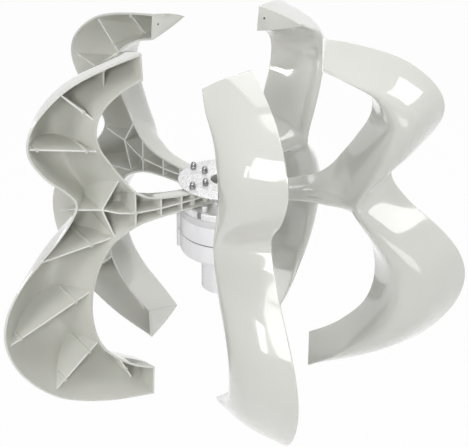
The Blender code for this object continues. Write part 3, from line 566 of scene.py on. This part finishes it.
def blade_skin():
    """The blade's outer skin as an open shape: x outwards, y to the open side, z from the arm's top."""
    outer = [rim_point(*section[0]) for section in (*UPPER_LOBE, (NOTCH_POINT,), *LOWER_LOBE)]
    ridge = [ridge_point(*section) for section in
             (*(s[1] for s in UPPER_LOBE), JUNCTION_RIDGE, *(s[1] for s in LOWER_LOBE))]
    for spot in ridge[1:-1]:
        spot.y -= RIDGE_EXTRA
    top = [rim_point(*s[2]) for s in UPPER_LOBE] + [rim_point(*UPPER_ARMPIT)]
    top += [Vector((r, ARM_RIM - 0.5, z)) for (r, z), _, _ in ARM_FLARE]
    top += [Vector((r, ARM_RIM, 0)) for r in ARM_STRAIGHT]
    bottom = [rim_point(*s[2]) for s in reversed(LOWER_LOBE)] + [rim_point(*LOWER_ARMPIT)]
    bottom += [Vector((r, ARM_RIM - 1.0, z)) for _, _, (r, z) in ARM_FLARE]
    bottom += [Vector((r, ARM_RIM, -ARM_HEIGHT)) for r in ARM_STRAIGHT]
    back = [ridge[len(UPPER_LOBE)]] + [Vector((r, -depth, z)) for _, (r, z, depth), _ in ARM_FLARE]
    back += [Vector((r, -ARM_BACK, -ARM_HEIGHT / 2)) for r in ARM_STRAIGHT]

    ridge_line = through(ridge, STEPS)
    back_line = through(back, STEPS)
    upper_end = len(UPPER_LOBE) * STEPS
    lower_end = len(LOWER_LOBE) * STEPS
    upper_ridge, lower_ridge = ridge_line[: upper_end + 1], ridge_line[upper_end:]
    bm = bmesh.new()
    strip(bm, through(outer, STEPS), ridge_line, upper_end, (0, upper_end + lower_end),
          LOBE_BULGE, False)
    upper_side = upper_ridge + back_line[1:]
    lower_side = lower_ridge[::-1] + back_line[1:]
    strip(bm, through(top, STEPS), upper_side, upper_end, (0,), INNER_BULGE, True)
    strip(bm, through(bottom, STEPS), lower_side, lower_end, (0,), INNER_BULGE, True)
    bmesh.ops.remove_doubles(bm, verts=bm.verts, dist=0.02)
    bmesh.ops.recalc_face_normals(bm, faces=bm.faces)
    bm = rounded(bm, 2)
    close_ends(bm)
    bmesh.ops.recalc_face_normals(bm, faces=bm.faces)
    if sum(face.normal.y * face.calc_area() for face in bm.faces) > 0:
        bmesh.ops.reverse_faces(bm, faces=bm.faces)
    return bm


def close_ends(bm):
    """Fills the flat end of each lobe and of the arm, from rim to rim."""
    tips = ((UPPER_LOBE[0][0][0], 1), (LOWER_LOBE[-1][0][0], -1), (ARM_STRAIGHT[1], 0))
    for radius, side in tips:
        loop = [v for v in bm.verts if v.is_boundary and abs(v.co.x - radius) < 0.2
                and (abs(v.co.z) < 30 if side == 0 else v.co.z * side > 120)]
        middle = sum((v.co for v in loop), Vector()) / len(loop)
        loop.sort(key=lambda v: math.atan2(v.co.z - middle.z, v.co.y - middle.y))
        bm.faces.new(loop)


def floor_of(skin, radius, height):
    """Where the middle of the skin's wall lies under a point of the open side. None past the rim."""
    hit, normal, _, _ = skin.ray_cast(Vector((radius, 200, height)), Vector((0, -1, 0)))
    return None if hit is None else hit.y + 0.45 * WALL / max(0.35, abs(normal.y))


def plate(bm, skin, stops, thick):
    """Adds a plate whose free edge passes through the stops and whose foot follows the skin's wall."""
    last = len(stops) - 1
    part = bmesh.new()
    grid = bmesh.ops.create_grid(part, x_segments=last, y_segments=1, size=1.0)
    for vertex in grid["verts"]:
        stop = Vector(stops[round((vertex.co.x + 1) / 2 * last)])
        vertex.co = stop - thick / 2 - Vector((0, 0 if vertex.co.y > 0 else FOOT_DROP, 0))
    made = bmesh.ops.extrude_face_region(part, geom=part.faces[:])
    moved = [item for item in made["geom"] if isinstance(item, bmesh.types.BMVert)]
    bmesh.ops.translate(part, verts=moved, vec=thick)
    for vertex in part.verts:
        if vertex.co.y < -FOOT_DROP / 2:
            edge = vertex.co.y + FOOT_DROP
            floor = floor_of(skin, vertex.co.x, vertex.co.z)
            vertex.co.y = min(edge - 0.5, edge - WALL if floor is None else floor)
    bmesh.ops.recalc_face_normals(part, faces=part.faces)
    tops = {vertex for face in part.faces if face.normal.y > 0.9 for vertex in face.verts}
    soften_edges(part, 0.45, 50, lambda edge: all(vertex in tops for vertex in edge.verts))
    for face in part.faces:
        # The free edges take the rim material, a painted highlight; the rest takes the inside one,
        # painted shade.
        face.material_index = RIM_PAINTED_HIGHLIGHT if face.normal.y > 0.6 else INSIDE
    add(bm, part)


def rib(bm, skin, start, end, samples=24, look=60):
    """A straight rib between two points, cut short where its free edge would leave the skin."""
    start, end = Vector(start), Vector(end)
    inside = []
    for count in range(look + 1):
        top = start.lerp(end, count / look)
        floor = floor_of(skin, top.x, top.z)
        if floor is not None and floor < top.y:
            inside.append(count / look)
    first, last = max(0.0, inside[0] - 0.5 / look), min(1.0, inside[-1] + 0.5 / look)
    stops = [start.lerp(end, first + (last - first) * count / samples)
             for count in range(samples + 1)]
    plate(bm, skin, stops, (end - start).cross(Vector((0, 1, 0))).normalized() * RIB_THICKNESS)


def post(bm, skin, radius, height, top, size):
    """A round ejector post on the floor of the hollow side, up to a little over a rib's edge."""
    spots = [(radius, height)] + [(radius + size * math.cos(a), height + size * math.sin(a))
                                  for a in (0.0, 0.8, 1.6, 2.4, 3.1, 3.9, 4.7, 5.5)]
    floors = [floor_of(skin, *spot) for spot in spots]
    floor = max((found for found in floors if found is not None), default=top)
    if floor > top - 0.5:
        return
    part = bmesh.new()
    bmesh.ops.create_cone(part, cap_ends=True, segments=20, radius1=size, radius2=size * 0.94,
                          depth=top - floor)
    rims = [edge for edge in part.edges if all(v.co.z > 0 for v in edge.verts)]
    bmesh.ops.bevel(part, geom=rims, offset=0.5, segments=2, affect="EDGES", profile=0.5, material=-1)
    bmesh.ops.rotate(part, verts=part.verts, matrix=Matrix.Rotation(-math.pi / 2, 3, "X"))
    bmesh.ops.translate(part, verts=part.verts, vec=(radius, (top + floor) / 2, height))
    add(bm, part, INSIDE)


def blade_template():
    """One blade in its own frame: skin, wall, tip hole as a black disc of painted shade, ribs, posts,
    arm web and bolt bosses.
    """
    bm = blade_skin()
    skin = BVHTree.FromBMesh(bm)
    for face in bm.faces:
        face.material_index = OUTSIDE
    rim = {vertex for vertex in bm.verts if vertex.is_boundary}
    made = bmesh.ops.solidify(bm, geom=bm.faces[:], thickness=WALL)
    for item in made["geom"]:
        if isinstance(item, bmesh.types.BMFace):
            # The new rim faces take the rim material, a painted highlight; the other new faces take the
            # inside one, painted shade.
            item.material_index = RIM_PAINTED_HIGHLIGHT if sum(vertex in rim for vertex in item.verts) >= 2 else INSIDE
    soften_edges(bm, 0.55, 50)
    across, height = TIP_HOLE_PLACE
    # A thin black disc on the tip cap stands for the hole: painted shade of the hole, not a cut.
    hole_shade_disc = rod(TIP_HOLE_R, -0.3, 0.25, segments=20, soften=0.1)
    bmesh.ops.rotate(hole_shade_disc, verts=hole_shade_disc.verts, matrix=Matrix.Rotation(-math.pi / 2, 3, "Y"))
    bmesh.ops.translate(hole_shade_disc, verts=hole_shade_disc.verts, vec=(UPPER_LOBE[0][0][0], across, height))
    add(bm, hole_shade_disc, TIP_HOLE_PAINTED_SHADE)
    for ends, shares in LOBE_RIBS:
        rib(bm, skin, *ends)
        for share in shares:
            spot = Vector(ends[0]).lerp(Vector(ends[1]), share)
            post(bm, skin, spot.x, spot.z, spot.y + POST_RISE, POST_R)
    for ends in STAR_RIBS:
        rib(bm, skin, *ends)
    edge = ARM_RIM - 0.9
    for radius in ARM_RIB_RADII:
        rib(bm, skin, (radius, edge, 60), (radius, edge, -60), look=240)
    edge = ARM_RIM - 1.3
    middle = -ARM_HEIGHT / 2
    radius, height, rise, size = ARM_POST
    stops = (STAR, (141, 3, -5), (radius, edge, height), (89, edge, middle),
             (ARM_STRAIGHT[1] + WALL / 2, edge, middle))
    plate(bm, skin, stops, Vector((0, 0, RIB_THICKNESS)))
    post(bm, skin, radius, height, edge + rise, size)
    for radius in BOLT_CIRCLES:
        part = bmesh.new()
        bmesh.ops.create_cone(part, cap_ends=True, segments=28, radius1=BOSS_R, radius2=BOSS_R,
                              depth=ARM_HEIGHT - WALL)
        bmesh.ops.translate(part, verts=part.verts, vec=(radius, BOLT_OFFSET - 0.6, -ARM_HEIGHT / 2))
        add(bm, part, INSIDE)
    return bm


def make_blades():
    template = blade_template()
    for count in range(BLADE_COUNT):
        bm = template.copy()
        turn = Matrix.Rotation(math.radians(FIRST_BLADE_ANGLE + count * 360 / BLADE_COUNT), 4, "Z")
        bmesh.ops.transform(bm, matrix=Matrix.Translation((0, 0, ARM_TOP)) @ turn, verts=bm.verts)
        finishes = (BLADE_OUTSIDE, BLADE_INSIDE_PAINTED_SHADE, RUBBER, BLADE_RIM_PAINTED_HIGHLIGHT)
        show(f"blade_shell_{count + 1}", bm, finishes, "rotor", (f"blade_{count + 1}",))
    template.free()


def make_hub():
    edge = PLATE_EDGE_R
    disc = turned([
        *arc(PLATE_R - edge, PLATE_LOW + edge, edge, -90, 0, 4),
        *arc(PLATE_R - edge, PLATE_TOP - edge, edge, 0, 90, 4),
        *arc(PLATE_HOLE_R + edge, PLATE_TOP - edge, edge, 90, 180, 4), (PLATE_HOLE_R, PLATE_LOW),
    ])
    show("hub_plate_disc", disc, (PLATE,), "rotor", ("hub_top_plate",))

    recess = FLANGE_TOP - FLANGE_RECESS
    boss_top, boss_foot = FLANGE_BOSS_R
    flange = turned([
        (FLANGE_BORE_R, FLANGE_LOW), *arc(CASING_R - 0.8, FLANGE_LOW + 0.8, 0.8, -90, 0, 4),
        *arc(CASING_R - 1.2, FLANGE_TOP - 1.2, 1.2, 0, 90, 6), (FLANGE_RIM_R + 0.3, FLANGE_TOP),
        (FLANGE_RIM_R - 1.2, recess), (boss_foot, recess), (boss_top, FLANGE_TOP),
        (FLANGE_BORE_R, FLANGE_TOP),
    ])
    middle = (FLANGE_TOP + FLANGE_LOW) / 2
    height = FLANGE_TOP - FLANGE_LOW
    notch = block((2 * NOTCH_DEPTH, NOTCH_WIDTH, height + 2), CASING_R, middle, NOTCH_ANGLE)
    flange = carved(flange, notch)
    # A block in the dark sheet-steel finish sits in the notch as painted shade of the notch.
    key = block((NOTCH_SHADE_THICKNESS, NOTCH_WIDTH + 0.4, height - 1.2), CASING_R - NOTCH_DEPTH + 0.6, middle,
                NOTCH_ANGLE)
    soften_edges(key, 0.3, 50)
    add(flange, key, 1)
    add(flange, rod(FLANGE_POST_R, recess - 0.5, FLANGE_TOP + FLANGE_POST_H,
                    around(FLANGE_POST_CIRCLE_R, FLANGE_POST_ANGLE), soften=0.6))
    show("hub_cast_flange", flange, (CAST, LAMINATION), "rotor", ("hub_flange",))


def make_nuts():
    nut = bmesh.new()
    bmesh.ops.create_cone(nut, cap_ends=True, segments=6, radius1=NUT_R, radius2=NUT_R,
                          depth=NUT_HEX_H)
    soften_edges(nut, 0.35, 50)
    bmesh.ops.translate(nut, verts=nut.verts, vec=(0, 0, NUT_HEX_H / 2))
    neck = NUT_CROWN_R - 0.5
    dome = turned([(0, NUT_HEX_H - 0.6), (neck, NUT_HEX_H - 0.6), (neck, NUT_HEX_H + 0.35),
                   (NUT_CROWN_R, NUT_HEX_H + 0.6),
                   *arc(0, NUT_H - NUT_CROWN_R, NUT_CROWN_R, 0, 90, 8)], 40, closed=False)
    add(nut, dome)
    base = height_of("dome_nut_1", 0)
    for count in range(2 * BLADE_COUNT):
        node = f"dome_nut_{count + 1}"
        low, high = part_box(node)
        x, y = (low[0] + high[0]) / 2 / MM, (low[1] + high[1]) / 2 / MM
        bm = nut.copy()
        # Each nut is tightened to its own angle.
        bmesh.ops.rotate(bm, verts=bm.verts, matrix=Matrix.Rotation(0.7 + 0.9 * count, 3, "Z"))
        bmesh.ops.translate(bm, verts=bm.verts, vec=(x, y, base))
        show(f"acorn_nut_{count + 1}", bm, (CHROME_PAINTED_DARK_REFLECTION,), "rotor", (node,))
    nut.free()


def make_casing():
    low = SOCKET_TOP + SEAT
    rim = LOWER_TOP - SEAM_HALF
    seam_r = CASING_R - SEAM_DEPTH
    wall_r = CASING_R - CASING_WALL
    corner = CASING_CORNER_R
    lower = turned([
        (0, SPIGOT_LOW), (SOCKET_BORE_R - 1.2, SPIGOT_LOW), (SOCKET_BORE_R - SEAT, SPIGOT_LOW + 0.9),
        (SOCKET_BORE_R - SEAT, low), *arc(CASING_R - corner, low + corner, corner, -90, 0, 12),
        *arc(CASING_R - 0.3, rim - 0.3, 0.3, 0, 90, 3), (seam_r, rim), (seam_r, LOWER_TOP),
        (wall_r, LOWER_TOP), (wall_r, low + CASING_WALL), (0, low + CASING_WALL),
    ], closed=False)
    for angle in LUG_ANGLES:
        add(lower, rod(LUG_R, rim - LUG_BELOW_SEAM, rim, around(LUG_CIRCLE_R, angle), soften=1.2))
    show("casing_cup", lower, (WHITE,), "stator", ("casing_lower",))

    rim = UPPER_LOW + SEAM_HALF
    upper = turned([
        (wall_r, UPPER_LOW), (seam_r, UPPER_LOW), (seam_r, rim),
        *arc(CASING_R - 0.3, rim + 0.3, 0.3, -90, 0, 3),
        *arc(CASING_R - 0.4, UPPER_TOP - 0.4, 0.4, 0, 90, 3), (UPPER_BORE_R, UPPER_TOP),
        (UPPER_BORE_R, UPPER_TOP - CASING_WALL), (wall_r, UPPER_TOP - CASING_WALL),
    ])
    for angle in LUG_ANGLES:
        add(upper, rod(LUG_R, rim, UPPER_TOP, around(LUG_CIRCLE_R, angle), soften=0.3))
    show("casing_bell", upper, (WHITE,), "stator", ("casing_upper",))

    gasket = turned([
        (seam_r, LOWER_TOP - SEAM_HALF), (seam_r + GASKET_THICKNESS, LOWER_TOP - SEAM_HALF),
        (seam_r + GASKET_THICKNESS, UPPER_LOW + SEAM_HALF), (seam_r, UPPER_LOW + SEAM_HALF),
    ])
    show("seam_gasket", gasket, (RUBBER,), "stator")

    lip_start, lip_end, lip_h = COVER_LIP
    cover = turned([
        *arc(CASING_R - 0.4, COVER_LOW + 0.4, 0.4, -90, 0, 3),
        *arc(CASING_R - 0.5, COVER_TOP - 0.5, 0.5, 0, 90, 4),
        (CASING_R - lip_start, COVER_TOP), (CASING_R - lip_start, COVER_TOP + lip_h),
        (CASING_R - lip_end, COVER_TOP + lip_h), (CASING_R - lip_end, COVER_TOP),
        (COVER_BORE_R, COVER_TOP), (COVER_BORE_R, COVER_LOW),
    ])
    for angle in LUG_ANGLES:
        add(cover, rod(LUG_R, COVER_LOW, COVER_TOP, around(LUG_CIRCLE_R, angle), soften=0.4))
    show("casing_lid", cover, (COVER,), "stator", ("casing_cover",))


def make_socket():
    tube = turned([
        (SOCKET_BORE_R, 0.8), *arc(SOCKET_R - 0.8, 0.8, 0.8, -90, 0, 4),
        *arc(SOCKET_R - 0.6, SOCKET_TOP - 0.6, 0.6, 0, 90, 4), (SOCKET_BORE_R, SOCKET_TOP),
    ])
    show("socket_tube", tube, (WHITE,), "stator", ("pole_socket",))

    for count, angle in enumerate(CLAMP_ANGLES):
        screw = bmesh.new()
        bmesh.ops.create_cone(screw, cap_ends=True, segments=6, radius1=CLAMP_HEAD_R,
                              radius2=CLAMP_HEAD_R, depth=CLAMP_HEAD_H - CLAMP_WASHER_H)
        soften_edges(screw, 0.45, 50)
        bmesh.ops.translate(screw, verts=screw.verts, vec=(0, 0, (CLAMP_HEAD_H + CLAMP_WASHER_H) / 2))
        add(screw, rod(CLAMP_HEAD_R * 0.98, 0, 1.0, soften=0.25))
        add(screw, rod(CLAMP_SHANK_R, -2.4, 0.5, soften=0.2))
        turn = Matrix.Rotation(math.radians(angle), 4, "Z")
        place = Matrix.Translation((SOCKET_R + SEAT, 0, CLAMP_HEIGHT))
        lay = Matrix.Rotation(math.pi / 2, 4, "Y")
        bmesh.ops.transform(screw, matrix=turn @ place @ lay, verts=screw.verts)
        show(f"clamp_bolt_{count + 1}", screw, (STEEL,), "stator", (f"clamp_screw_{count + 1}",))


make_blades()
make_hub()
make_nuts()
make_casing()
make_socket()

# Studio, in metres --------------------------------------------------------------------------------
CAMERA_AT = Vector((0.0, -1.4454, 0.7065 + ARM_TOP * MM))
CAMERA_DOWN = 27.05  # degrees below level
CAMERA_ROLL = 0.58
CAMERA_LENS = 106.3
CAMERA_SHIFT = (0.0211, -0.0416)
FLOOR_HEIGHT = -0.55
FLOOR_REACH = 8.0
FLOOR_WHITE = 0.975  # how much of the floor is plain white to the eye; the rest shows its shadow
AMBIENT = 0.08
LAMP_DISTANCE = 2.2
LAMP_AIM = Vector((0, 0, 0.12))
SOFTBOXES = {  # each one's turn and rise in degrees, its width and height, and its watts
    "left_key": (-122, 31, 0.5, 1.4, 10.5),
    "left_strip": (-132.5, 22, 0.11, 0.85, 2.2),
    "right_key": (-3, 34, 1.5, 0.9, 16.5),
    "front_strip": (-99, 24, 0.3, 0.5, 14.0),
    "overhead": (0, 89, 1.4, 1.4, 16.5),
    "high_back": (90, 50, 1.2, 1.2, 6.0),
    "low_right": (-52, -13, 1.2, 0.7, 5.5),
}


def make_camera():
    data = bpy.data.cameras.new("studio_camera")
    data.sensor_fit = "HORIZONTAL"
    data.sensor_width = 36.0
    data.lens = CAMERA_LENS
    data.shift_x, data.shift_y = CAMERA_SHIFT
    camera = bpy.data.objects.new("studio_camera", data)
    camera.location = CAMERA_AT
    tilt = Matrix.Rotation(math.radians(90.0 - CAMERA_DOWN), 4, "X")
    roll = Matrix.Rotation(math.radians(CAMERA_ROLL), 4, "Z")
    camera.rotation_euler = (tilt @ roll).to_euler()
    bpy.context.scene.collection.objects.link(camera)
    bpy.context.scene.camera = camera


def softbox(name, turn, rise, width, height, power):
    """A soft light aimed at the turbine's middle, placed by its two angles from there in degrees."""
    data = bpy.data.lights.new(name, "AREA")
    data.shape = "RECTANGLE"
    data.size = width
    data.size_y = height
    data.energy = power
    turn, rise = math.radians(turn), math.radians(rise)
    away = Vector((math.cos(turn), math.sin(turn), 0)) * math.cos(rise)
    away.z = math.sin(rise)
    light = bpy.data.objects.new(name, data)
    light.location = LAMP_AIM + LAMP_DISTANCE * away
    light.rotation_euler = away.to_track_quat("Z", "Y").to_euler()
    bpy.context.scene.collection.objects.link(light)


def seen_ray():
    """1 for what the camera, a reflection or clear glass shows of the studio, and 0 for the light that
    it gives."""
    path = Sock.node("ShaderNodeLightPath")
    return (Sock(path.outputs["Is Camera Ray"]).math("MAXIMUM", Sock(path.outputs["Is Glossy Ray"]))
            .math("MAXIMUM", Sock(path.outputs["Is Transmission Ray"])))


def make_studio():
    scene = bpy.context.scene
    scene.view_settings.view_transform = "Standard"
    world = bpy.data.worlds.new("studio")
    scene.world = world
    world.use_nodes = True
    Sock.tree = world.node_tree
    background = Sock.tree.nodes["Background"]
    background.inputs["Color"].default_value = (1.0, 1.0, 1.0, 1.0)
    Sock.feed(background.inputs["Strength"], seen_ray() * (1.0 - AMBIENT) + AMBIENT)

    bm = bmesh.new()
    bmesh.ops.create_grid(bm, x_segments=1, y_segments=1, size=FLOOR_REACH)
    bmesh.ops.translate(bm, verts=bm.verts, vec=(0, 0, FLOOR_HEIGHT))
    mesh = bpy.data.meshes.new("studio_floor")
    bm.to_mesh(mesh)
    bm.free()
    floor = bpy.data.objects.new("studio_floor", mesh)
    scene.collection.objects.link(floor)
    mesh.materials.append(floor_finish())
    for name, (turn, rise, width, height, power) in SOFTBOXES.items():
        softbox(name, turn, rise, width, height, power)


def floor_finish():
    """Pale paper that takes a shadow, and is white to the camera and in reflections."""
    made = bpy.data.materials.new("studio_paper")
    made.use_nodes = True
    Sock.tree = made.node_tree
    shader = made.node_tree.nodes["Principled BSDF"]
    shader.inputs["Base Color"].default_value = (0.9, 0.9, 0.9, 1.0)
    shader.inputs["Roughness"].default_value = 0.9
    white = Sock.node("ShaderNodeEmission")
    white.inputs["Strength"].default_value = 1.0
    mix = Sock.node("ShaderNodeMixShader", _0=seen_ray() * FLOOR_WHITE)
    Sock.tree.links.new(shader.outputs[0], mix.inputs[1])
    Sock.tree.links.new(white.outputs[0], mix.inputs[2])
    Sock.tree.links.new(mix.outputs[0], made.node_tree.nodes["Material Output"].inputs["Surface"])
    return made


make_camera()
make_studio()
